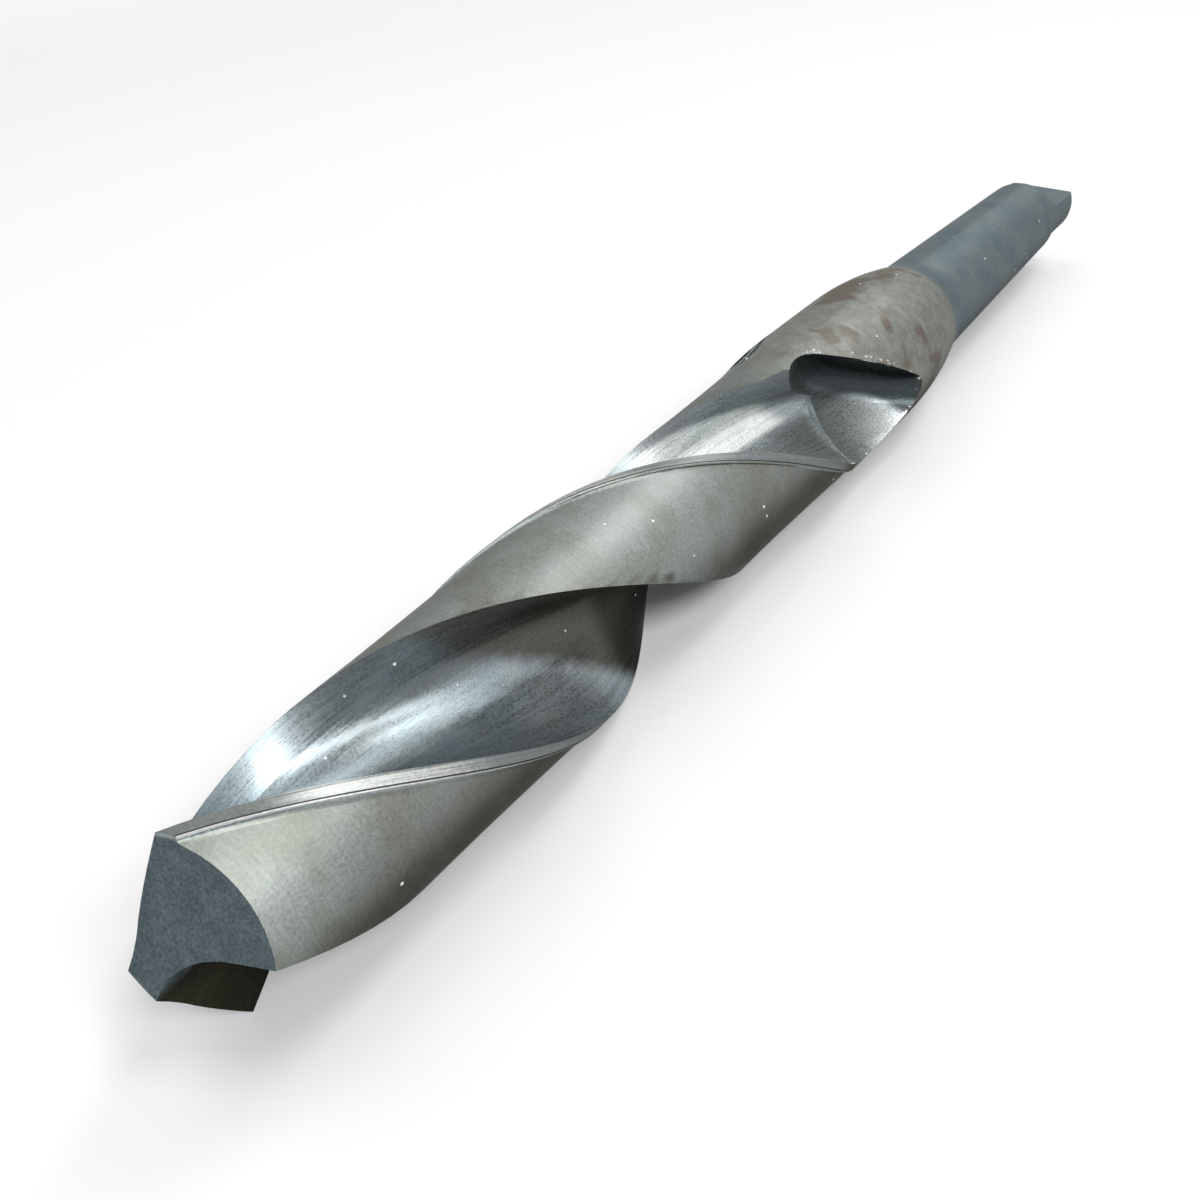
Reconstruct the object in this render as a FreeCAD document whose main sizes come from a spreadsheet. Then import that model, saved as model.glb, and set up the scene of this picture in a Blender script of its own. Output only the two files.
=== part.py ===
import FreeCAD, Part
import math
import os
import Sketcher

# A two-flute twist drill with a taper shank and a flat driving tang.
# It is built upright on its own axis and laid on its side at the end.
# Upright, z = 0 is the plane of the two outer lip corners, the point is below
# it and the shank above, and the first lip runs along +X.
# Lengths are in millimetres and angles in degrees.

SIZES = {
    # whole drill
    "drill_diameter": 31.5,
    "overall_length": 301.0,
    # point, ground on a cone whose apex lies past the axis on the line of the lip
    "point_angle": 118.0,
    "lip_spacing": 4.4,
    "flank_clearance": 15.5,
    "grinding_cone_half_angle": 68.8,
    "grinding_cone_offset": 16.7,
    # flutes, their widths measured square to the helix
    "helix_lead": 169.4,
    "web_thickness": 4.0,
    "rake_half_width": 10.16,
    "rake_radius": 23.9,
    "flute_root_offset": 1.32,
    "flute_cutter_radius": 30.5,
    "flute_run_out": 165.5087,
    # heel side of the flute, wider at the point than at the flute's end, and its mouth there
    "heel_radius": 8.4,
    "heel_slope": 61.2,
    "end_heel_radius": 4.5,
    "end_heel_slope": 82.0,
    "mouth_root_offset": 4.9,
    "mouth_heel_radius": 4.4,
    "mouth_heel_slope": 89.0,
    "mouth_angle_ahead": 85.0,
    "mouth_angle_behind": 60.0,
    # cleared lands behind the margins, measured square to the helix
    "margin_width": 1.45,
    "land_half_width": 11.26,
    "land_overrun": 12.0,
    "land_crown_radius": 21.0,
    "land_crown_offset": 1.05,
    "land_depth": 1.31,
    "land_fillet": 0.9,
    "land_cutter_radius": 30.0,
    "land_end": 131.0,
    "land_angle_ahead": 45.0,
    # neck between the flutes and the shank
    "neck_start": 169.0,
    "neck_crown_radius": 108.0,
    "neck_fillet_radius": 25.0,
    # taper shank
    "gauge_diameter": 23.825,
    "gauge_to_tang_end": 94.0,
    "taper_ratio": 19.922,
    # tang
    "tang_length": 20.0,
    "tang_diameter": 18.5,
    "tang_thickness": 7.9,
    "tang_root_radius": 7.0,
    "tang_corner_radius": 2.0,
    "tang_edge_chamfer": 0.6,
    "tang_shoulder_slope": 45.0,
    # centre hole in the end of the tang
    "centre_hole_mouth": 4.0,
    "centre_hole_bore": 2.0,
    "centre_hole_angle": 60.0,
    "centre_hole_depth": 5.0,
    # how far the cutting tools reach past the bar
    "cutter_overreach": 5.0,
    "grinding_overreach": 10.0,
}

# Values that follow from the sizes, as formulas of the second sheet
DERIVED = {
    "radius": "sizes.drill_diameter / 2",
    "half_web": "sizes.web_thickness / 2",
    "lip_offset": "sizes.lip_spacing / 2",
    "half_point": "sizes.point_angle / 2",
    "helix_angle": "atan(pi * sizes.drill_diameter / sizes.helix_lead) / 1 deg",
    "turn_rate": "360 / sizes.helix_lead",
    # the lips stand half the web off the axis, which turns their outer corners
    "corner_turn": "-asin(lip_offset / radius) / 1 deg",
    "corner_reach": "sqrt(radius ^ 2 - lip_offset ^ 2)",
    # grinding cone of the first flank
    "cone_drop": "(corner_reach + sizes.grinding_cone_offset) / tan(half_point)",
    "cone_roll": "atan(sin(half_point) * tan(sizes.flank_clearance)) / 1 deg",
    "cone_reach": "(sizes.grinding_cone_offset + sizes.drill_diameter) / sin(half_point)",
    "cone_cos": "cos(sizes.grinding_cone_half_angle)",
    "cone_sin": "sin(sizes.grinding_cone_half_angle)",
    "cone_x": "cone_cos * sin(half_point) - cone_sin * cos(half_point) * cos(cone_roll)",
    "cone_y": "-cone_sin * sin(cone_roll)",
    "cone_z": "cone_cos * cos(half_point) + cone_sin * sin(half_point) * cos(cone_roll)",
    # where that cone meets the axis, a root of a quadratic
    "meet_a": "cone_z ^ 2 - cone_cos ^ 2",
    "meet_b": "sizes.grinding_cone_offset * cone_x + lip_offset * cone_y",
    "meet_c": "meet_b ^ 2 - cone_cos ^ 2 * (sizes.grinding_cone_offset ^ 2 + lip_offset ^ 2)",
    "meet_rise": "(sqrt((meet_b * cone_z) ^ 2 - meet_a * meet_c) - meet_b * cone_z) / meet_a",
    "point_height": "cone_drop - meet_rise",
    "bar_start": "-point_height - sizes.cutter_overreach",
    # flute cutter
    "rake_rise": "sqrt(radius ^ 2 - (sizes.rake_half_width * cos(helix_angle)) ^ 2) - half_web",
    "rake_turn": "asin(sizes.rake_half_width * cos(helix_angle) / radius) / 1 deg"
                 " + sizes.rake_half_width * sin(helix_angle) * turn_rate",
    "flute_end": "sizes.flute_run_out - cos(helix_angle) * sqrt(sizes.flute_cutter_radius ^ 2"
                 " - (sizes.flute_cutter_radius - radius + half_web) ^ 2)",
    "flute_turn": "corner_turn - rake_turn + flute_end * turn_rate",
    "flute_axle": "half_web + sizes.flute_cutter_radius",
    "flute_top": "radius + sizes.cutter_overreach - flute_axle",
    # the cutter's path, which begins ahead of the bar
    "path_start": "bar_start - sizes.drill_diameter",
    "start_turn": "flute_turn - (flute_end - path_start) * turn_rate",
    "start_part": "path_start / flute_end",
    "start_heel_radius": "sizes.heel_radius"
                         " + (sizes.end_heel_radius - sizes.heel_radius) * start_part",
    "start_heel_slope": "sizes.heel_slope + (sizes.end_heel_slope - sizes.heel_slope) * start_part",
    # land cutter
    "margin_turn": "sizes.margin_width / cos(helix_angle) / radius * 180 / pi",
    "land_half_turn": "asin(sizes.land_half_width * cos(helix_angle) / radius) / 1 deg"
                      " + sizes.land_half_width * sin(helix_angle) * turn_rate",
    "land_turn": "corner_turn + margin_turn + land_half_turn + sizes.land_end * turn_rate",
    "land_axle": "radius - sizes.land_depth + sizes.land_cutter_radius",
    "land_top": "radius + sizes.cutter_overreach - land_axle",
    # shank and tang
    "tang_end": "sizes.overall_length - point_height",
    "tang_start": "tang_end - sizes.tang_length",
    "gauge_height": "tang_end - sizes.gauge_to_tang_end",
    "taper_angle": "atan(1 / (2 * sizes.taper_ratio)) / 1 deg",
    "taper_end_radius": "sizes.gauge_diameter / 2 - (tang_start - gauge_height) * tan(taper_angle)",
    "tang_radius": "sizes.tang_diameter / 2",
    "half_tang": "sizes.tang_thickness / 2",
    "tang_root_height": "tang_start + sqrt(sizes.tang_root_radius ^ 2"
                        " - (half_tang + sizes.tang_root_radius - taper_end_radius) ^ 2)",
    "hole_cone_depth": "(sizes.centre_hole_mouth - sizes.centre_hole_bore) / 2"
                       " / tan(sizes.centre_hole_angle / 2)",
}

START, END, CENTRE = 1, 2, 3
ORIGIN = (-1, START)
X_AXIS, Y_AXIS = -1, -2


def fill_sheets(doc):
    """One sheet with the plain sizes and one with the formulas."""
    sizes = doc.addObject("Spreadsheet::Sheet", "sizes")
    derived = doc.addObject("Spreadsheet::Sheet", "derived")
    for sheet, cells, mark in ((sizes, SIZES, ""), (derived, DERIVED, "=")):
        for row, (name, content) in enumerate(cells.items(), start=1):
            sheet.set(f"A{row}", name)
            sheet.set(f"B{row}", f"{mark}{content}")
            sheet.setAlias(f"B{row}", name)
        doc.recompute()
    return sizes, derived


def cell(name):
    """How an expression names a cell."""
    return f"{'sizes' if name in SIZES else 'derived'}.{name}"


def value(name):
    """The number that a cell holds now."""
    sheet = SHEETS[0] if name in SIZES else SHEETS[1]
    return float(sheet.get(name))


def origin_feature(role):
    return next(item for item in body.Origin.OriginFeatures if item.Role == role)


def point(x, y):
    return FreeCAD.Vector(x, y, 0)


def line(start, end):
    return Part.LineSegment(point(*start), point(*end))


def arc(centre, radius, start, end):
    """Counter-clockwise, from the start angle to the end angle."""
    circle = Part.Circle(point(*centre), FreeCAD.Vector(0, 0, 1), radius)
    return Part.ArcOfCircle(circle, math.radians(start), math.radians(end))


def draw(name, plane, geometry, offset=None):
    """A sketch on one of the body's planes, moved by an optional offset."""
    sketch = body.newObject("Sketcher::SketchObject", name)
    sketch.AttachmentSupport = [(origin_feature(plane), "")]
    sketch.MapMode = "FlatFace"
    if offset:
        sketch.setExpression("AttachmentOffset", offset)
    sketch.addGeometry(geometry, False)
    return sketch


def tie(sketch, *items):
    """Adds plain constraints, each given as its type and its elements."""
    for kind, *elements in items:
        sketch.addConstraint(Sketcher.Constraint(kind, *elements))


def dimension(sketch, kind, elements, formula):
    """Adds a dimension that follows a formula of the sheets."""
    now = float(sketch.evalExpression(formula))
    index = sketch.addConstraint(Sketcher.Constraint(kind, *elements, now))
    sketch.renameConstraint(index, f"{kind}_{index}")
    sketch.setExpression(f"Constraints.{kind}_{index}", formula)


def bar():
    """The turned bar: full diameter, neck, taper and the round of the tang."""
    radius, start, end = value("radius"), value("bar_start"), value("tang_end")
    neck, crown, fillet = value("neck_start"), value("neck_crown_radius"), value("neck_fillet_radius")
    taper = math.radians(value("taper_angle"))
    gauge = point(value("gauge_diameter") / 2, value("gauge_height"))
    shoulder = (value("taper_end_radius"), value("tang_start"))
    tang, corner = value("tang_radius"), value("tang_corner_radius")

    # the fillet rolls on the crown and on the taper
    crown_centre = point(radius - crown, neck)
    outward = point(math.cos(taper), math.sin(taper))
    along = point(-math.sin(taper), math.cos(taper))
    from_crown = gauge + outward * fillet - crown_centre
    half = from_crown.dot(along)
    slide = -half + math.sqrt(half ** 2 - from_crown.Length ** 2 + (crown + fillet) ** 2)
    foot = gauge + along * slide
    fillet_centre = foot + outward * fillet
    lean = math.degrees((fillet_centre - crown_centre).getAngle(point(1, 0)))
    touch = crown_centre + (fillet_centre - crown_centre) * (crown / (crown + fillet))

    sketch = draw("bar_outline", "XZ_Plane", [
        line((0, start), (radius, start)),
        line((radius, start), (radius, neck)),
        arc((crown_centre.x, crown_centre.y), crown, 0, lean),
        arc((fillet_centre.x, fillet_centre.y), fillet, 180 + value("taper_angle"), 180 + lean),
        line((foot.x, foot.y), shoulder),
        line(shoulder, (tang, shoulder[1] + shoulder[0] - tang)),
        line((tang, shoulder[1] + shoulder[0] - tang), (tang, end - corner)),
        arc((tang - corner, end - corner), corner, 0, 90),
        line((tang - corner, end), (0, end)),
        line((0, end), (0, start)),
    ])
    assert touch.y > neck
    face, side, crown_arc, fillet_arc, flank, step, tang_side, corner_arc, end_face, axis = range(10)
    tie(sketch,
        ("Coincident", face, END, side, START),
        ("Tangent", side, END, crown_arc, START),
        ("Tangent", crown_arc, END, fillet_arc, END),
        ("Tangent", fillet_arc, START, flank, START),
        ("Coincident", flank, END, step, START),
        ("Coincident", step, END, tang_side, START),
        ("Tangent", tang_side, END, corner_arc, START),
        ("Tangent", corner_arc, END, end_face, START),
        ("Coincident", end_face, END, axis, START),
        ("Coincident", axis, END, face, START),
        ("Horizontal", face), ("Vertical", side), ("Vertical", tang_side),
        ("Horizontal", end_face), ("PointOnObject", face, START, Y_AXIS),
        ("PointOnObject", end_face, END, Y_AXIS))
    dimension(sketch, "DistanceX", (*ORIGIN, face, END), cell("radius"))
    dimension(sketch, "DistanceY", (*ORIGIN, face, END), cell("bar_start"))
    dimension(sketch, "DistanceY", (*ORIGIN, side, END), cell("neck_start"))
    dimension(sketch, "Radius", (crown_arc,), cell("neck_crown_radius"))
    dimension(sketch, "Radius", (fillet_arc,), cell("neck_fillet_radius"))
    dimension(sketch, "DistanceX", (*ORIGIN, flank, END), cell("taper_end_radius"))
    dimension(sketch, "DistanceY", (*ORIGIN, flank, END), cell("tang_start"))
    dimension(sketch, "Angle", (flank,), f"90 + {cell('taper_angle')}")
    dimension(sketch, "Angle", (step,), f"180 - {cell('tang_shoulder_slope')}")
    dimension(sketch, "DistanceX", (*ORIGIN, tang_side, END), cell("tang_radius"))
    dimension(sketch, "Radius", (corner_arc,), cell("tang_corner_radius"))
    dimension(sketch, "DistanceY", (*ORIGIN, end_face, START), cell("tang_end"))

    turned = body.newObject("PartDesign::Revolution", "bar")
    turned.Profile = sketch
    turned.ReferenceAxis = (sketch, ["V_Axis"])
    turned.Angle = 360
    return turned


def cutter_place(axle, turn, height):
    """Puts a cutter's drawing square to the helix, its origin on the cutter's own axle."""
    azimuth, rise = cell(turn), cell(height)
    return (f"placement(vector({cell(axle)} * cos({azimuth}); {cell(axle)} * sin({azimuth}); {rise});"
            f" rotation({azimuth} - 90; -{cell('helix_angle')}; 0))")


def milled(name, sketch, lead, run_in):
    """A form cutter's groove, back down the helix past the point."""
    groove = body.newObject("PartDesign::SubtractiveHelix", name)
    groove.Profile = sketch
    groove.ReferenceAxis = (origin_feature("Z_Axis"), [""])
    groove.Mode = "pitch-height-angle"
    groove.setExpression("Pitch", cell(lead))
    groove.setExpression("Height", run_in)
    groove.Reversed = True
    return groove


def run_out(name, sketch, ahead, behind=None):
    """Where a cutter stops: the print of its rim, ahead of its axle and behind it."""
    end = body.newObject("PartDesign::Groove", name)
    end.Profile = sketch
    end.ReferenceAxis = (sketch, ["H_Axis"])
    end.setExpression("Angle", cell(ahead))
    if behind:
        end.Type = "TwoAngles"
        end.setExpression("Angle2", cell(behind))
    end.Reversed = True
    return end


def flute_cutter(name, root_offset, heel_radius, heel_slope, place):
    """The rake face's wide arc, a tighter one round the root and a straight slope to the heel."""
    rake, heel, slope = value("rake_radius"), value(heel_radius), value(heel_slope)
    cutter, top = value("flute_cutter_radius"), value("flute_top")
    edge = point(-value("rake_half_width"), value("rake_rise") - cutter)
    heel_centre = point(value(root_offset), heel - cutter)
    chord = heel_centre - edge
    lean = math.acos((rake ** 2 + chord.Length ** 2 - (rake - heel) ** 2) / (2 * rake * chord.Length))
    lean += math.atan2(chord.y, chord.x)
    rake_centre = edge + point(rake * math.cos(lean), rake * math.sin(lean))
    inward = heel_centre - rake_centre
    meet = 360 + math.degrees(math.atan2(inward.y, inward.x))
    bend = heel_centre + point(math.sin(math.radians(slope)), -math.cos(math.radians(slope))) * heel
    rim = (bend.x + (top - bend.y) / math.tan(math.radians(slope)), top)
    wall_top = (edge.x - (top - edge.y) * math.tan(lean), top)
    sketch = draw(name, "XY_Plane", [
        line(wall_top, (edge.x, edge.y)),
        arc((rake_centre.x, rake_centre.y), rake, 180 + math.degrees(lean), meet),
        arc((heel_centre.x, heel_centre.y), heel, meet, 270 + slope),
        line((bend.x, bend.y), rim),
        line(rim, wall_top),
    ], place)
    rake_wall, rake_arc, heel_arc, heel_wall, roof = range(5)
    tie(sketch,
        ("Tangent", rake_wall, END, rake_arc, START),
        ("Tangent", rake_arc, END, heel_arc, START),
        ("Tangent", heel_arc, END, heel_wall, START),
        ("Coincident", heel_wall, END, roof, START),
        ("Coincident", roof, END, rake_wall, START),
        ("Horizontal", roof))
    dimension(sketch, "DistanceX", (*ORIGIN, rake_arc, START), f"-{cell('rake_half_width')}")
    dimension(sketch, "DistanceY", (*ORIGIN, rake_arc, START),
              f"{cell('rake_rise')} - {cell('flute_cutter_radius')}")
    dimension(sketch, "Radius", (rake_arc,), cell("rake_radius"))
    dimension(sketch, "DistanceX", (*ORIGIN, heel_arc, CENTRE), cell(root_offset))
    dimension(sketch, "DistanceY", (*ORIGIN, heel_arc, CENTRE),
              f"{cell(heel_radius)} - {cell('flute_cutter_radius')}")
    dimension(sketch, "Radius", (heel_arc,), cell(heel_radius))
    dimension(sketch, "Angle", (heel_wall,), cell(heel_slope))
    dimension(sketch, "DistanceY", (*ORIGIN, heel_wall, END), cell("flute_top"))
    return sketch


def flute():
    """One flute, whose heel side narrows on the way up, and the cutter's print at its end."""
    path = doc.addObject("Part::Helix", "flute_path")
    path.setExpression("Pitch", cell("helix_lead"))
    path.setExpression("Height", f"{cell('flute_end')} - {cell('path_start')}")
    path.setExpression("Radius", cell("radius"))
    path.setExpression("Placement", f"placement(vector(0; 0; {cell('path_start')});"
                                    f" rotation({cell('start_turn')}; 0; 0))")
    path.Visibility = False
    doc.recompute()
    start = cutter_place("flute_axle", "start_turn", "path_start")
    end = cutter_place("flute_axle", "flute_turn", "flute_end")
    groove = body.newObject("PartDesign::SubtractivePipe", "flute")
    groove.Profile = flute_cutter("flute_start_cutter", "flute_root_offset",
                                  "start_heel_radius", "start_heel_slope", start)
    groove.Sections = [flute_cutter("flute_end_cutter", "flute_root_offset",
                                    "end_heel_radius", "end_heel_slope", end)]
    groove.Spine = (path, [f"Edge{number + 1}" for number in range(len(path.Shape.Edges))])
    groove.Mode = "Frenet"
    groove.Transformation = "Multisection"
    mouth = flute_cutter("flute_mouth_cutter", "mouth_root_offset",
                         "mouth_heel_radius", "mouth_heel_slope", end)
    return [groove, run_out("flute_mouth", mouth, "mouth_angle_ahead", "mouth_angle_behind")]


def land():
    """The clearance behind one margin: a crowned land that falls from a filleted step."""
    width, overrun = value("land_half_width"), value("land_overrun")
    crown, fillet, cutter = value("land_crown_radius"), value("land_fillet"), value("land_cutter_radius")
    top = value("land_top")
    crown_centre = point(value("land_crown_offset"), -cutter - crown)
    reach, back = width - fillet - crown_centre.x, overrun + crown_centre.x
    fillet_centre = crown_centre + point(reach, math.sqrt((crown + fillet) ** 2 - reach ** 2))
    lean = math.degrees(math.asin(reach / (crown + fillet)))
    heel_lean = math.degrees(math.asin(back / crown))
    heel_end = crown_centre + point(-back, math.sqrt(crown ** 2 - back ** 2))
    sketch = draw("land_cutter", "XY_Plane", [
        arc((crown_centre.x, crown_centre.y), crown, 90 - lean, 90 + heel_lean),
        arc((fillet_centre.x, fillet_centre.y), fillet, 270 - lean, 360),
        line((width, fillet_centre.y), (width, top)),
        line((width, top), (-overrun, top)),
        line((-overrun, top), (heel_end.x, heel_end.y)),
    ], cutter_place("land_axle", "land_turn", "land_end"))
    crown_arc, fillet_arc, wall, roof, heel_wall = range(5)
    tie(sketch,
        ("Tangent", crown_arc, START, fillet_arc, START),
        ("Tangent", fillet_arc, END, wall, START),
        ("Coincident", wall, END, roof, START),
        ("Coincident", roof, END, heel_wall, START),
        ("Coincident", heel_wall, END, crown_arc, END),
        ("Vertical", wall), ("Horizontal", roof), ("Vertical", heel_wall))
    dimension(sketch, "DistanceX", (*ORIGIN, crown_arc, CENTRE), cell("land_crown_offset"))
    dimension(sketch, "Radius", (crown_arc,), cell("land_crown_radius"))
    dimension(sketch, "DistanceY", (*ORIGIN, crown_arc, CENTRE),
              f"-{cell('land_cutter_radius')} - {cell('land_crown_radius')}")
    dimension(sketch, "Radius", (fillet_arc,), cell("land_fillet"))
    dimension(sketch, "DistanceX", (*ORIGIN, wall, END), cell("land_half_width"))
    dimension(sketch, "DistanceY", (*ORIGIN, wall, END), cell("land_top"))
    dimension(sketch, "DistanceX", (*ORIGIN, heel_wall, START), f"-{cell('land_overrun')}")
    run_in = f"{cell('land_end')} - {cell('bar_start')} + {cell('drill_diameter')}"
    return [milled("land", sketch, "helix_lead", run_in), run_out("land_run_out", sketch, "land_angle_ahead")]


def flank():
    """One flank of the point, ground to the inside of a wide cone."""
    reach, over = value("cone_reach"), value("grinding_overreach")
    cosine, sine = value("cone_cos"), value("cone_sin")
    back = (-over * cosine, -over * sine)
    rim = (reach * sine ** 2 - over * cosine, -reach * sine * cosine - over * sine)
    place = (f"placement(vector(-{cell('grinding_cone_offset')}; -{cell('lip_offset')}; -{cell('cone_drop')});"
             f" rotation(0; {cell('half_point')} - 90; {cell('cone_roll')} + 90))")
    sketch = draw("flank_grinding", "XY_Plane", [
        line((0, 0), (reach, 0)),
        line((reach, 0), rim),
        line(rim, back),
        line(back, (0, 0)),
        line((0, 0), (cosine * over, sine * over)),
    ], place)
    lip, rim_wall, roof, spine, axis = range(5)
    sketch.toggleConstruction(axis)
    tie(sketch,
        ("Coincident", lip, START, *ORIGIN),
        ("PointOnObject", lip, END, X_AXIS),
        ("Coincident", lip, END, rim_wall, START),
        ("Coincident", rim_wall, END, roof, START),
        ("Coincident", roof, END, spine, START),
        ("Coincident", spine, END, lip, START),
        ("Coincident", axis, START, lip, START),
        ("Parallel", spine, axis),
        ("Parallel", rim_wall, spine),
        ("Perpendicular", roof, spine),
        ("Equal", axis, spine))
    dimension(sketch, "DistanceX", (lip, START, lip, END), cell("cone_reach"))
    dimension(sketch, "Distance", (spine,), cell("grinding_overreach"))
    dimension(sketch, "Angle", (axis,), cell("grinding_cone_half_angle"))
    ground = body.newObject("PartDesign::Groove", "flank")
    ground.Profile = sketch
    ground.ReferenceAxis = (sketch, ["Axis0"])
    ground.Angle = 360
    return [ground]


def tang_flat():
    """One flat of the tang, with its milled root and the bevel at its end."""
    flat, root, bevel = value("half_tang"), value("tang_root_radius"), value("tang_edge_chamfer")
    height, end, outer = value("tang_root_height"), value("tang_end"), value("radius")
    top = end + value("cutter_overreach")
    sketch = draw("tang_flat_outline", "XZ_Plane", [
        arc((flat + root, height), root, 180, 270),
        line((flat + root, height - root), (outer, height - root)),
        line((outer, height - root), (outer, top)),
        line((outer, top), (flat - bevel, top)),
        line((flat - bevel, top), (flat - bevel, end)),
        line((flat - bevel, end), (flat, end - bevel)),
        line((flat, end - bevel), (flat, height)),
    ])
    root_arc, floor, outside, roof, inside, bevel_line, face = range(7)
    tie(sketch,
        ("Tangent", root_arc, START, face, END),
        ("Tangent", root_arc, END, floor, START),
        ("Coincident", floor, END, outside, START),
        ("Coincident", outside, END, roof, START),
        ("Coincident", roof, END, inside, START),
        ("Coincident", inside, END, bevel_line, START),
        ("Coincident", bevel_line, END, face, START),
        ("Vertical", face), ("Vertical", outside), ("Horizontal", roof), ("Vertical", inside))
    dimension(sketch, "DistanceX", (*ORIGIN, face, START), cell("half_tang"))
    dimension(sketch, "Radius", (root_arc,), cell("tang_root_radius"))
    dimension(sketch, "DistanceY", (*ORIGIN, root_arc, CENTRE), cell("tang_root_height"))
    dimension(sketch, "DistanceX", (*ORIGIN, outside, END), cell("radius"))
    dimension(sketch, "DistanceY", (*ORIGIN, roof, END), f"{cell('tang_end')} + {cell('cutter_overreach')}")
    dimension(sketch, "DistanceY", (*ORIGIN, inside, END), cell("tang_end"))
    dimension(sketch, "DistanceX", (bevel_line, START, bevel_line, END), cell("tang_edge_chamfer"))
    dimension(sketch, "DistanceY", (bevel_line, END, bevel_line, START), cell("tang_edge_chamfer"))
    cut = body.newObject("PartDesign::Pocket", "tang_flat")
    cut.Profile = sketch
    cut.Midplane = True
    cut.setExpression("Length", cell("drill_diameter"))
    return [cut]


def centre_hole():
    """The coned hole on which the bar was held for turning and grinding."""
    mouth, bore = value("centre_hole_mouth") / 2, value("centre_hole_bore") / 2
    end, depth, cone = value("tang_end"), value("centre_hole_depth"), value("hole_cone_depth")
    sketch = draw("centre_hole_outline", "XZ_Plane", [
        line((0, end), (mouth, end)),
        line((mouth, end), (bore, end - cone)),
        line((bore, end - cone), (bore, end - depth)),
        line((bore, end - depth), (0, end - depth)),
        line((0, end - depth), (0, end)),
    ])
    top, cone_side, bore_side, floor, axis = range(5)
    tie(sketch,
        ("Coincident", top, END, cone_side, START),
        ("Coincident", cone_side, END, bore_side, START),
        ("Coincident", bore_side, END, floor, START),
        ("Coincident", floor, END, axis, START),
        ("Coincident", axis, END, top, START),
        ("Horizontal", top), ("Vertical", bore_side), ("Horizontal", floor),
        ("PointOnObject", top, START, Y_AXIS), ("PointOnObject", floor, END, Y_AXIS))
    dimension(sketch, "DistanceY", (*ORIGIN, top, START), cell("tang_end"))
    dimension(sketch, "DistanceX", (*ORIGIN, top, END), f"{cell('centre_hole_mouth')} / 2")
    dimension(sketch, "DistanceX", (*ORIGIN, bore_side, START), f"{cell('centre_hole_bore')} / 2")
    dimension(sketch, "DistanceY", (bore_side, START, top, START), cell("hole_cone_depth"))
    dimension(sketch, "DistanceY", (floor, END, top, START), cell("centre_hole_depth"))
    hole = body.newObject("PartDesign::Groove", "centre_hole")
    hole.Profile = sketch
    hole.ReferenceAxis = (sketch, ["V_Axis"])
    hole.Angle = 360
    return hole


def second_side(features):
    """The same cuts again, half a turn round: the drill has two of each."""
    pattern = body.newObject("PartDesign::PolarPattern", "both_sides")
    pattern.Originals = features
    pattern.Axis = (origin_feature("Z_Axis"), [""])
    pattern.Angle = 360
    pattern.Occurrences = 2
    return pattern


def lay_down():
    """On its side, point to -X, one tang flat up, centred over the origin and touching z = 0."""
    body.Placement = FreeCAD.Placement(FreeCAD.Vector(), FreeCAD.Rotation(FreeCAD.Vector(1, 0, 1), 180))
    middle = f"{cell('point_height')} - {cell('overall_length')} / 2"
    body.setExpression(".Placement.Base.x", middle)
    body.setExpression(".Placement.Base.z", cell("radius"))


def check(volumes):
    """Every object is up to date, every cut removes metal, and the drill is one sound solid."""
    failed = [item.Name for item in doc.Objects if {"Invalid", "Error"} & set(item.State)]
    if failed:
        raise RuntimeError(f"not built: {failed}")
    for name, before, after in volumes:
        if after >= before:
            raise RuntimeError(f"{name} removes nothing")
    shape = body.Shape
    if shape.isNull() or not shape.isValid() or len(shape.Solids) != 1:
        raise RuntimeError("the drill is not one sound solid")


doc = FreeCAD.newDocument("taper_shank_drill")
SHEETS = fill_sheets(doc)
body = doc.addObject("PartDesign::Body", "drill_bit")
body.Label = "drill_bit"

steps = [bar()]
cuts = []
for make in (flute, land, flank, tang_flat):
    made = make()
    cuts += made
    steps += made
    doc.recompute()
steps.append(second_side(cuts))
body.Tip = steps[-1]
doc.recompute()
steps.append(centre_hole())
body.Tip = steps[-1]
lay_down()
doc.recompute()

removed = [(after.Name, before.Shape.Volume, after.Shape.Volume) for before, after in zip(steps, steps[1:])]
check(removed)
os.makedirs("parts", exist_ok=True)
body.Shape.exportStep(f"parts/{body.Label}.step")
box = body.Shape.optimalBoundingBox()
print(f"volume {body.Shape.Volume:.0f} mm3, point height {value('point_height'):.3f} mm")
print(f"from {box.XMin:.2f} {box.YMin:.2f} {box.ZMin:.2f} to {box.XMax:.2f} {box.YMax:.2f} {box.ZMax:.2f}")
for name, before, after in removed:
    print(f"{name}: {before - after:.0f} mm3 removed")
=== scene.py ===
import math
from types import SimpleNamespace

import bmesh
import bpy
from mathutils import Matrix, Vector

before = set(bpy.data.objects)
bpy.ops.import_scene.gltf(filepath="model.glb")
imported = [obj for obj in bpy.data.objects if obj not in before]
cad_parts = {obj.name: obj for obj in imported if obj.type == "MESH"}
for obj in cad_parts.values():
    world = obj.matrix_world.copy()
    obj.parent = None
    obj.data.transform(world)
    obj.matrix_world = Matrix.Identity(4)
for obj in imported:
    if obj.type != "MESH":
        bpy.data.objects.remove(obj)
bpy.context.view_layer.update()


def colour(red, green, blue):
    return (red, green, blue, 1)


def grey(level):
    return colour(level, level, level)


# Sizes of the drill in millimetres; stations are measured along it from the outer corners of the lips

MM_PER_METRE = 1000
RADIUS = 15.75
LAND_RADIUS = 14.25
OUTER_EDGE = 15.4
MOUTH_EDGE = 15.2
LIP_CORNERS = -141.8
POINT_END = 12
MOUTH_START = 126.0
LAND_END = 133.0
FLUTES_END = 168.0
SHANK_START = 192.0
HELIX_LEAD = 169.4

# Angles round the drill in degrees, back from a land's leading edge, which leads the top by LEADING_EDGE

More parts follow.
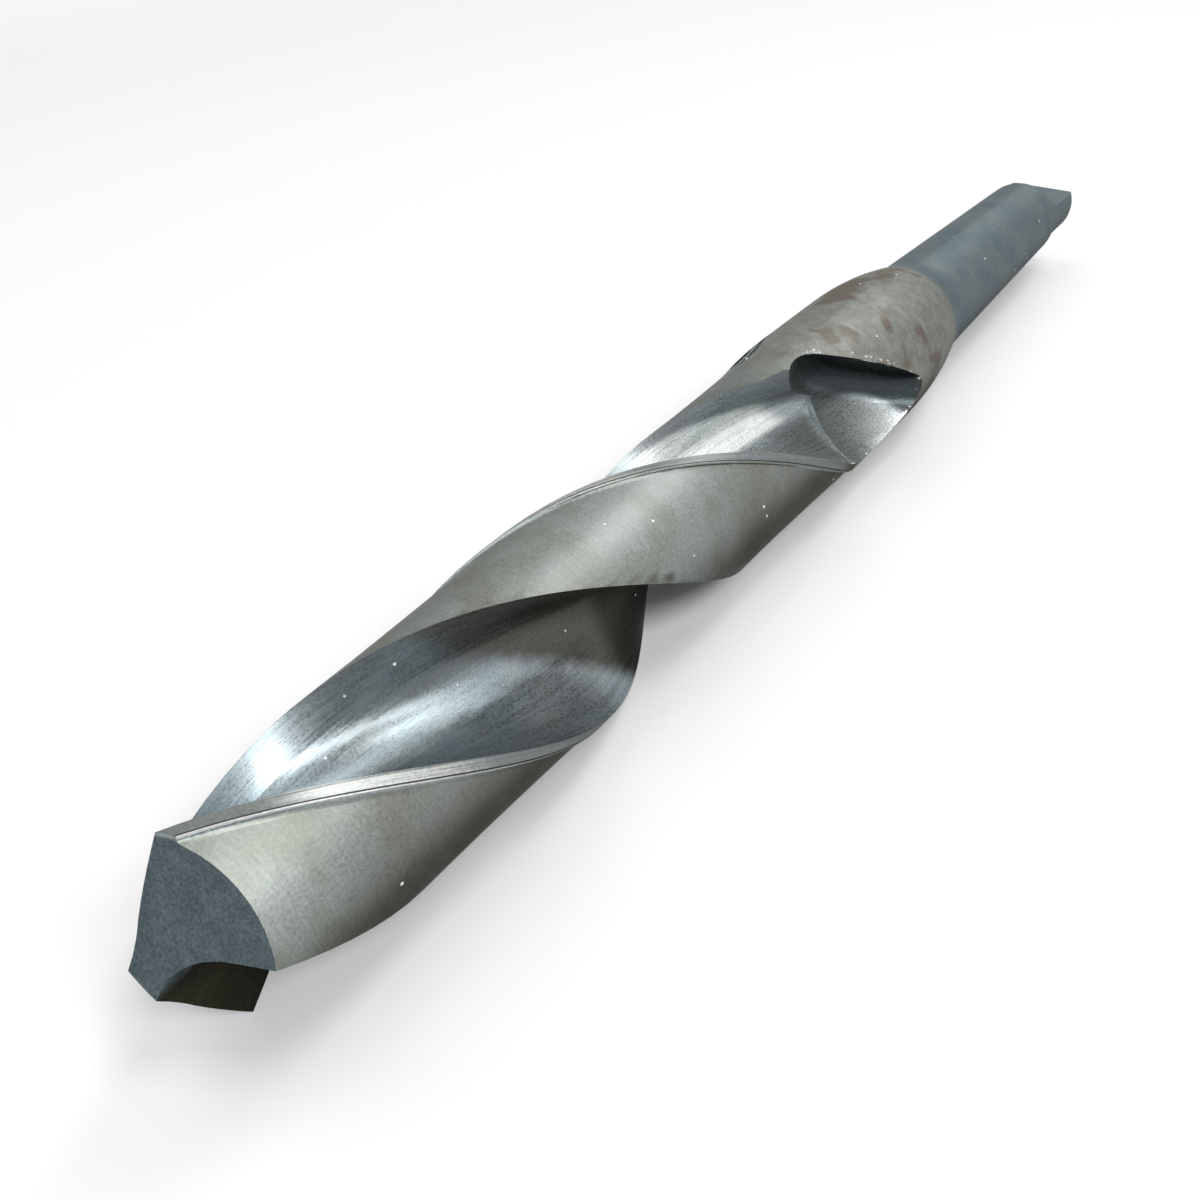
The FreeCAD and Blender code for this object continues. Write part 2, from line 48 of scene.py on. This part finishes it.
LEADING_EDGE = 8.03
MARGIN_END = 6.1
STEP_SHADE_END = MARGIN_END + 0.85
FILLET_END = 8.1
HEEL_SIDE = (60, 128)
FLUTE_MIDDLE = 130.0

# Both flutes are alike, so angles start again after a pitch; those over a flute start ahead of its middle

FLUTE_PITCH = 180.0
AHEAD_OF_MIDDLE = 80.0

# How squarely a surface faces the point or outwards, from 0 to 1

FACING_POINT = 0.7
FACING_OUT = 0.75

# Stations of painted highlights and shade, and of wear and nicks; LEAN is their slant in the flutes, in
# millimetres along for each one across

LEAN = 1.55
POINT_HIGHLIGHT_END = 10
POINT_SHADE_END = 14
MARGIN_SHADE_END_WEAR_START = 10
MARGIN_HIGHLIGHTS = ((11, 31), (66, 86))
HEEL_SHADE_START = 22
FILLET_HIGHLIGHT_END = 34
LAND_SHEEN_STATIONS = (55, 95)
FLUTE_SHADOW_STATIONS = (56, 96)
DEEP_SHADOW_START = 71
SECOND_FLUTE_START = 101
RAKE_HIGHLIGHT_START = 103
ROOT_HIGHLIGHT_STATIONS = (112, 137)
FAR_SIDE_SHADE_START = 136
NICKED_RIM = (138, 164)
MOUTH_SHADE_START = 151

# Bounds of painted highlights and shade, and of nicks, across the drill, up from its axis, and across a
# flute, in millimetres

NEAR_SIDE = 2
FAR_SIDE = 5
UNDERSIDE_TOP = 4.0
NECK_UNDERSIDE_DROP = 6
ROOT_HIGHLIGHT_LIMIT = 31.4     # a radius at station 0, which shrinks by the taper along the drill
ROOT_HIGHLIGHT_TAPER = 0.18
HIGHLIGHT_STREAK = (-7.2, -1.0)

# The outer rim of a flute's mouth, in degrees, and its slope in degrees for each millimetre

OUTER_RIM = (5.4, 9.2)
OUTER_RIM_SLOPE = 0.55

# Specks: cells for each millimetre, a speck's reach in a cell, and the share of cells that hold one

SPECK_CELLS = 0.3
SPECK_REACH = 0.07
SPECK_SHARE = 0.24

# Colours; a pair is what cloudy oxide or a place along the drill mixes

LAND = (colour(0.200, 0.211, 0.187), colour(0.235, 0.250, 0.236))
FLUTE = (colour(0.310, 0.372, 0.402), colour(0.355, 0.402, 0.412))
# Painted shade on the flutes' heel side, before and after the second flute starts
HEEL_SHADE = (colour(0.155, 0.176, 0.182), colour(0.245, 0.270, 0.275))
# Painted shadow down the flutes, paler and then deeper
FLUTE_SHADOW = (colour(0.100, 0.096, 0.086), colour(0.045, 0.042, 0.036))
FLANK = (colour(0.088, 0.116, 0.130), colour(0.110, 0.142, 0.156))
# The second margin colour is a painted highlight
MARGIN = (colour(0.225, 0.240, 0.242), colour(0.500, 0.515, 0.500))
NECK = (colour(0.212, 0.219, 0.199), colour(0.262, 0.270, 0.251))
SHANK = (colour(0.138, 0.180, 0.204), colour(0.176, 0.206, 0.212))
# Painted highlights on the second flute's root, rake side and streak
ROOT_HIGHLIGHT = colour(0.36, 0.40, 0.41)
RAKE_HIGHLIGHT = colour(0.52, 0.56, 0.56)
ROOT_STREAK_HIGHLIGHT = colour(0.88, 0.91, 0.89)
# Painted shade in the flutes' mouths
MOUTH_SHADE = colour(0.050, 0.062, 0.064)
# Painted shade on the flutes' lower side behind the point
POINT_UNDERSIDE_SHADE = colour(0.030, 0.029, 0.019)
# A painted glint on the flank's rim
FLANK_RIM_GLINT = colour(0.30, 0.34, 0.34)
# The margin's dull colour, which near the lips is painted shade
DULL_MARGIN = colour(0.150, 0.165, 0.160)
NECK_STAIN = colour(0.172, 0.155, 0.132)
# Painted shade under the margin, and a painted highlight on the fillet
STEP_SHADE_LINE = colour(0.035, 0.038, 0.04)
FILLET_HIGHLIGHT = grey(0.52)
# Near-white specks: painted glints on small nicks
SPECK_GLINT = colour(0.85, 0.85, 0.83)
GRAZING_TINT = grey(0.35)

# What a colour is multiplied by

# Painted sheen on the lands
LAND_SHEEN = (1.14, 1.15, 1.17)
# A painted highlight near the point
POINT_HIGHLIGHT = (1.3, 1.33, 1.34)
# Painted shade on the flutes behind the lips
FLUTE_SHADE_AT_POINT = (0.52, 0.55, 0.57)
# Painted shade on the underside
UNDERSIDE_SHADE = (0.36, 0.35, 0.32)

# Shine, and the depth of the tools' marks in metres

METALLIC = 0.85
SPECK_METALLIC = 0.25
LAND_ROUGHNESS = 0.46
FLUTE_ROUGHNESS = 0.30
FLANK_ROUGHNESS = 0.55
NECK_ROUGHNESS = 0.5
RELIEF_STRENGTH = 0.35
RELIEF_DEPTH = 0.00006

# The camera that fits the photograph, in metres, degrees and millimetres

CAMERA_PLACE = (-0.169272, -0.078435, 0.117329)
CAMERA_TURN = (51.1346, 1.64995, -54.11973)
SENSOR_WIDTH = 36.0
LENS_LENGTH = 31.1225
NEAREST_SEEN = 0.01

# The lamps: azimuth and elevation in degrees, width and height in metres, and radiance

LAMPS = {
    "back": (95, 58, 1.2, 1.2, 1.3),
    "key": (-116, 50, 1.5, 0.42, 9.0),
    "right": (-2, 50, 0.6, 0.5, 6.0),
    "top": (-55, 72, 0.45, 0.45, 8.0),
}
LAMP_DISTANCE = 1.6
ROOM_LIGHT = 0.25

# The floor in metres: half its side, and where it turns from paper to plain white

FLOOR_REACH = 4.0
FLOOR_FADE = 0.7
FLOOR_FADE_BLUR = 0.3
PAPER = grey(0.85)
WHITE = grey(1.0)


# Shader maths: a Wire is a node's output, and arithmetic on it adds Math nodes

class Wire:
    def __init__(self, tree, socket=None):
        self.tree = tree
        self.socket = socket

    def node(self, kind, settings, sockets, output=0):
        made = self.tree.nodes.new("ShaderNode" + kind)
        for name, value in settings.items():
            setattr(made, name, value)
        for name, value in sockets.items():
            if isinstance(value, Wire):
                self.tree.links.new(value.socket, made.inputs[name])
            else:
                made.inputs[name].default_value = value
        return Wire(self.tree, made.outputs[output] if made.outputs else None)

    def maths(self, operation, *values):
        return self.node("Math", {"operation": operation}, dict(enumerate(values)))

    def __add__(self, other):
        return self.maths("ADD", self, other)

    __radd__ = __add__

    def __sub__(self, other):
        return self.maths("SUBTRACT", self, other)

    def __rsub__(self, other):
        return self.maths("SUBTRACT", other, self)

    def __mul__(self, other):
        return self.maths("MULTIPLY", self, other)

    __rmul__ = __mul__

    def __truediv__(self, other):
        return self.maths("DIVIDE", self, other)

    def __rtruediv__(self, other):
        return self.maths("DIVIDE", other, self)

    def either(self, other):
        return self.maths("MAXIMUM", self, other)

    def above(self, level, blur):
        """1 above the level and 0 below it, with a soft edge that reaches the blur to each side."""
        return self.node("MapRange", {"interpolation_type": "SMOOTHSTEP"},
                         {"Value": self, "From Min": level - blur, "From Max": level + blur})

    def below(self, level, blur):
        return 1 - self.above(level, blur)

    def between(self, low, high, blur):
        return self.above(low, blur) * self.below(high, blur)

    def mix(self, first, second):
        """First where this is 0 and second where it is 1, for colours, whose sockets are 6 and 7."""
        return self.node("Mix", {"data_type": "RGBA"}, {0: self, 6: first, 7: second}, 2)

    def mix_values(self, first, second):
        """The same for numbers, whose sockets are 2 and 3."""
        return self.node("Mix", {"data_type": "FLOAT"}, {0: self, 2: first, 3: second})

    def tinted(self, level):
        """This colour, brighter or darker by a factor."""
        return self.node("VectorMath", {"operation": "SCALE"}, {0: self, "Scale": level})

    def dyed(self, factors):
        """This colour times another."""
        return self.node("VectorMath", {"operation": "MULTIPLY"}, {0: self, 1: factors})

    def vector(self, x, y, z):
        return self.node("CombineXYZ", {}, {0: x, 1: y, 2: z})

    def parts(self):
        return [self.node("SeparateXYZ", {}, {0: self}, output) for output in range(3)]

    def noise(self, scale, detail, roughness):
        return self.node("TexNoise", {}, {
            "Vector": self, "Scale": scale, "Detail": detail, "Roughness": roughness})


def emptied(owner):
    """The start of a new node tree in a material or the world."""
    owner.use_nodes = True
    owner.node_tree.nodes.clear()
    return Wire(owner.node_tree)


# The drill's steel

def where(start):
    """Where a point lies on the drill, in millimetres and degrees, and which way it faces."""
    metres = start.node("TexCoord", {}, {}, "Object")
    place = start.node("VectorMath", {"operation": "MULTIPLY_ADD"},
                       {0: metres, 1: (MM_PER_METRE,) * 3, 2: (-LIP_CORNERS, 0, -RADIUS)})
    station, across, height = place.parts()
    out = start.maths("SQRT", across * across + height * height)
    turn = start.maths("ARCTAN2", -1 * across, height) * (180 / math.pi)
    helix = turn + LEADING_EDGE - station * (360 / HELIX_LEAD)
    helix = start.maths("WRAP", helix, FLUTE_PITCH, 0.0)
    forward, normal_across, normal_height = start.node("TexCoord", {}, {}, "Normal").parts()
    from_middle = start.maths("WRAP", helix - FLUTE_MIDDLE, FLUTE_PITCH - AHEAD_OF_MIDDLE, -AHEAD_OF_MIDDLE)
    over_flute = out * start.maths("SINE", from_middle * (math.pi / 180))
    return SimpleNamespace(
        place=place,
        station=station,
        across=across,
        height=height,
        out=out,
        helix=helix,
        round_it=helix * (math.pi / 180 * RADIUS),
        towards_point=-1 * forward,
        outward=(normal_across * across + normal_height * height) / out,
        over_flute=over_flute,
        slanted=station - LEAN * over_flute)


def surfaces(at):
    """The surfaces that the tools left, each 1 where a point is on it."""
    land_skin = at.out.above(LAND_RADIUS - 0.1, 0.05)
    flank = at.towards_point.above(FACING_POINT, 0.03) * at.station.below(POINT_END, 0.5)
    fluted = at.station.below(FLUTES_END, 0.05) * (1 - flank)
    step = at.helix.between(MARGIN_END, FILLET_END, 0.1) * land_skin * fluted
    step = step * at.station.below(LAND_END, 1.0)
    margin = at.helix.below(MARGIN_END, 0.05) * at.out.above(RADIUS - 0.08, 0.04) * fluted
    margin = margin * at.station.below(LAND_END, 4.0)
    flute = (1 - land_skin).either(at.outward.below(FACING_OUT, 0.1)) * fluted * (1 - step)
    neck = at.station.between(LAND_END, SHANK_START, 4.0) * (1 - flute)
    shank = at.station.above(SHANK_START, 1.5)
    return SimpleNamespace(flank=flank, step=step, margin=margin, flute=flute, neck=neck, shank=shank)


def drawn_out(start, ways, marks_per_mm, detail, roughness):
    """Noise that is drawn out along some ways and fine along others."""
    stretched = [way * marks for way, marks in zip(ways, marks_per_mm)]
    return start.vector(*stretched).noise(1.0, detail, roughness)


def textures(start, at):
    """Cutter streaks down the helix, marks round the drill, clouds of oxide and grain."""
    return SimpleNamespace(
        streaks=drawn_out(start, (at.round_it, at.station, at.out), (2.6, 0.05, 2.6), 2.0, 0.65),
        hatch=drawn_out(start, (at.round_it, at.station, at.out), (0.25, 3.0, 0.4), 1.0, 0.6),
        turned=drawn_out(start, (at.station, at.across, at.height), (5.0, 0.08, 0.08), 1.0, 0.7),
        clouds=at.place.noise(scale=0.11, detail=2.0, roughness=0.55),
        blotches=at.place.noise(scale=0.42, detail=2.0, roughness=0.6),
        grain=at.place.noise(scale=2.6, detail=1.0, roughness=0.7))


def nicks_with_glints(start, at, on, texture):
    """Scattered specks and nicks along both rims of the flutes' mouths, coloured near white: small nicks
    with painted glints.
    """
    cells = {"Vector": at.place, "Scale": SPECK_CELLS}
    distance = start.node("TexVoronoi", {}, cells, "Distance")
    chance = start.node("TexVoronoi", {}, cells, "Color").parts()[0]
    specks = distance.below(SPECK_REACH, 0.03) * chance.below(SPECK_SHARE, 0.01)

    inner_rim = on.flute * at.station.above(MOUTH_START, 4.0) * at.out.above(MOUTH_EDGE, 0.25)
    specks = specks.either(inner_rim * texture.blotches.above(0.6, 0.03) * at.across.below(NEAR_SIDE, 1.0))

    outer_rim = (at.helix - at.station * OUTER_RIM_SLOPE).between(*OUTER_RIM, 0.4)
    outer_rim = outer_rim * at.station.between(*NICKED_RIM, 1.0) * at.out.above(OUTER_EDGE, 0.1)
    return specks.either(outer_rim * texture.blotches.above(0.52, 0.05) * texture.grain.above(0.62, 0.03))


def flute_colour(at, texture):
    base = texture.clouds.above(0.52, 0.14).mix(*FLUTE)

    # Painted shade: the heel side is darker, and so is the stretch behind the lips

    heel_side = at.helix.between(*HEEL_SIDE, 14) * at.out.above(4.0, 2.0)
    heel_side = heel_side * at.station.above(HEEL_SHADE_START, 8.0)
    base = heel_side.mix(base, at.station.above(SECOND_FLUTE_START, 4.0).mix(*HEEL_SHADE))
    base = at.station.below(POINT_END, 6.0).mix(base, base.dyed(FLUTE_SHADE_AT_POINT))

    # Painted highlights on the second flute: a lighter root that narrows towards its mouth, a lighter rake
    # side, and a bright streak

    highlit = at.slanted.above(ROOT_HIGHLIGHT_STATIONS[0], 4.0)
    root = highlit * at.station.above(SECOND_FLUTE_START, 3.0)
    root = root * (at.out + at.station * ROOT_HIGHLIGHT_TAPER).below(ROOT_HIGHLIGHT_LIMIT, 0.9)
    base = root.mix(base, ROOT_HIGHLIGHT)
    rake_side = highlit * at.station.above(RAKE_HIGHLIGHT_START, 3.0) * at.over_flute.above(0.5, 1.5)
    base = rake_side.mix(base, RAKE_HIGHLIGHT)
    streak = root * at.slanted.below(ROOT_HIGHLIGHT_STATIONS[1], 3.0) * at.over_flute.between(*HIGHLIGHT_STREAK, 0.7)
    base = streak.mix(base, ROOT_STREAK_HIGHLIGHT)

    # Painted shade: a shadow band down the flutes, the dark mouths, and the lower side behind the point

    shadowed = (at.slanted + texture.blotches * 3).between(*FLUTE_SHADOW_STATIONS, 3.0)
    base = shadowed.mix(base, at.station.above(DEEP_SHADOW_START, 3.0).mix(*FLUTE_SHADOW))
    near_mouth = at.slanted.above(MOUTH_SHADE_START, 5.0) * at.over_flute.below(0.2, 1.0)
    far_mouth = at.across.above(FAR_SIDE, 2.0) * at.station.above(FAR_SIDE_SHADE_START, 4.0)
    base = near_mouth.either(far_mouth).mix(base, MOUTH_SHADE)
    shaded_underside = at.station.below(POINT_SHADE_END, 5.0) * at.height.below(0, 2.0)
    return shaded_underside.mix(base, POINT_UNDERSIDE_SHADE)


def margin_colour(at, texture):
    """Lighter in two stretches along the drill, a painted highlight; dull at the lips, painted shade, and
    in streaks.
    """
    first, second = (at.station.between(*stretch, 4.0) for stretch in MARGIN_HIGHLIGHTS)
    worn = at.station.above(MARGIN_SHADE_END_WEAR_START, 4.0) * texture.streaks.above(0.42, 0.16)
    return worn.mix(DULL_MARGIN, first.either(second).mix(*MARGIN))


def land_colour(at, texture):
    base = texture.clouds.above(0.5, 0.12).mix(*LAND)
    # Painted sheen: the lands are lighter in a stretch along the drill
    return at.station.between(*LAND_SHEEN_STATIONS, 6.0).mix(base, base.dyed(LAND_SHEEN))


def neck_colour(texture):
    base = texture.blotches.above(0.5, 0.16).mix(*NECK)
    return texture.clouds.above(0.58, 0.05).mix(base, NECK_STAIN)


def step_colour(at, land):
    """A painted shade line along the margin, and a painted highlight on the fillet near the point."""
    fillet = at.station.below(FILLET_HIGHLIGHT_END, 12.0).mix(land, FILLET_HIGHLIGHT)
    return at.helix.above(STEP_SHADE_END, 0.25).mix(STEP_SHADE_LINE, fillet)


def flank_colour(at, texture):
    base = texture.blotches.above(0.5, 0.2).mix(*FLANK)
    # Painted glint along the flank's outer rim, where a fine edge would catch the light
    return at.out.above(OUTER_EDGE, 0.2).mix(base, FLANK_RIM_GLINT)


def steel_colour(at, on, texture):
    land = land_colour(at, texture)
    base = on.neck.mix(land, neck_colour(texture))
    base = on.shank.mix(base, texture.clouds.above(0.5, 0.16).mix(*SHANK))
    # Painted highlight on the lands near the point
    base = at.station.below(POINT_HIGHLIGHT_END, 9.0).mix(base, base.dyed(POINT_HIGHLIGHT))
    # Painted shade: the lower side of the lands, neck and shank is darker
    underside_shade = (at.height + on.neck.either(on.shank) * NECK_UNDERSIDE_DROP).below(UNDERSIDE_TOP, 5.0)
    base = underside_shade.mix(base, base.dyed(UNDERSIDE_SHADE))
    base = on.flute.mix(base, flute_colour(at, texture))
    base = on.margin.mix(base, margin_colour(at, texture))
    base = on.step.mix(base, step_colour(at, land))
    return on.flank.mix(base, flank_colour(at, texture))


def marked(on, texture):
    """How much lighter or darker the grain and the tools' marks make the steel."""
    level = 0.545 + texture.grain * 0.65
    for surface, marks, strength in (
            (on.flank, texture.grain, 0.5),
            (on.flute, texture.streaks, 0.7),
            (on.shank, texture.turned, 0.4),
            (1 - on.flute, texture.hatch, 0.25)):
        level = level + surface * (marks - 0.5) * strength
    return level


def steel_roughness(on, texture):
    rough = on.flute.mix_values(LAND_ROUGHNESS, FLUTE_ROUGHNESS)
    rough = on.flank.mix_values(rough, FLANK_ROUGHNESS)
    rough = on.neck.mix_values(rough, NECK_ROUGHNESS)
    return rough + (texture.grain - 0.5) * 0.25 + (texture.streaks - 0.5) * 0.15


def steel_relief(start, on, texture):
    relief = texture.grain * 0.25 + on.flute * texture.streaks * 1.2
    relief = relief + (1 - on.flute) * texture.hatch * 0.5 + on.shank * texture.turned * 0.8
    return start.node("Bump", {}, {
        "Strength": RELIEF_STRENGTH, "Distance": RELIEF_DEPTH, "Height": relief})


def tool_steel():
    made = bpy.data.materials.new("tool_steel_ground")
    start = emptied(made)
    at = where(start)
    on = surfaces(at)
    texture = textures(start, at)
    specks = nicks_with_glints(start, at, on, texture)
    base = steel_colour(at, on, texture).tinted(marked(on, texture))
    surface = start.node("BsdfPrincipled", {}, {
        "Base Color": specks.mix(base, SPECK_GLINT),
        "Metallic": METALLIC - specks * (METALLIC - SPECK_METALLIC),
        "Roughness": steel_roughness(on, texture),
        "Specular Tint": GRAZING_TINT,
        "Normal": steel_relief(start, on, texture),
    })
    start.node("OutputMaterial", {}, {"Surface": surface})
    return made


# The floor, the light and the camera

def seen(start):
    """1 where the camera looks, straight or by way of metal or glass."""
    looking = start.node("LightPath", {}, {}, "Is Camera Ray")
    for ray in ("Is Glossy Ray", "Is Transmission Ray"):
        looking = looking.either(start.node("LightPath", {}, {}, ray))
    return looking


def floor_paper():
    """Pale paper that takes the drill's shadow and is plain white further away."""
    made = bpy.data.materials.new("floor_paper")
    start = emptied(made)
    sheet = start.node("BsdfPrincipled", {}, {"Base Color": PAPER, "Roughness": 0.9})
    backdrop = start.node("Emission", {}, {"Color": WHITE, "Strength": 1.0})
    metres = start.node("TexCoord", {}, {}, "Object")
    away = start.node("VectorMath", {"operation": "LENGTH"}, {0: metres}, "Value")
    far = away.above(FLOOR_FADE, FLOOR_FADE_BLUR) * seen(start)
    start.node("OutputMaterial", {}, {
        "Surface": start.node("MixShader", {}, {0: far, 1: sheet, 2: backdrop}),
    })
    return made


def added(name, data):
    made = bpy.data.objects.new(name, data)
    bpy.context.scene.collection.objects.link(made)
    return made


def floor():
    shape = bmesh.new()
    bmesh.ops.create_grid(shape, x_segments=1, y_segments=1, size=FLOOR_REACH)
    mesh = bpy.data.meshes.new("floor")
    shape.to_mesh(mesh)
    shape.free()
    made = added("floor", mesh)
    made.data.materials.append(floor_paper())


def lamp(name, azimuth, elevation, width, height, radiance):
    """A rectangular lamp that looks at the drill's middle from that direction."""
    turn, rise = math.radians(azimuth), math.radians(elevation)
    away = Vector((math.cos(rise) * math.cos(turn), math.cos(rise) * math.sin(turn), math.sin(rise)))
    light = bpy.data.lights.new(name, "AREA")
    light.shape = "RECTANGLE"
    light.size = width
    light.size_y = height
    light.energy = radiance * math.pi * width * height
    made = added(name, light)
    made.location = away * LAMP_DISTANCE
    made.rotation_euler = away.to_track_quat("Z", "Y").to_euler()


def camera():
    lens = bpy.data.cameras.new("camera")
    lens.sensor_width = SENSOR_WIDTH
    lens.lens = LENS_LENGTH
    lens.clip_start = NEAREST_SEEN
    made = added("camera", lens)
    made.location = CAMERA_PLACE
    made.rotation_euler = [math.radians(angle) for angle in CAMERA_TURN]
    bpy.context.scene.camera = made


def surroundings():
    """A room that looks white and lights the drill faintly."""
    world = bpy.data.worlds.new("studio")
    start = emptied(world)
    strength = seen(start).mix_values(ROOM_LIGHT, 1.0)
    start.node("OutputWorld", {}, {
        "Surface": start.node("Background", {}, {"Color": WHITE, "Strength": strength}),
    })
    bpy.context.scene.world = world


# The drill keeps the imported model's shape and takes the new steel

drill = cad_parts["drill_bit"]
steel = tool_steel()
for slot in drill.material_slots:
    slot.material = steel

floor()
for name, settings in LAMPS.items():
    lamp(name, *settings)
camera()
surroundings()

bpy.context.scene.view_settings.view_transform = "Standard"
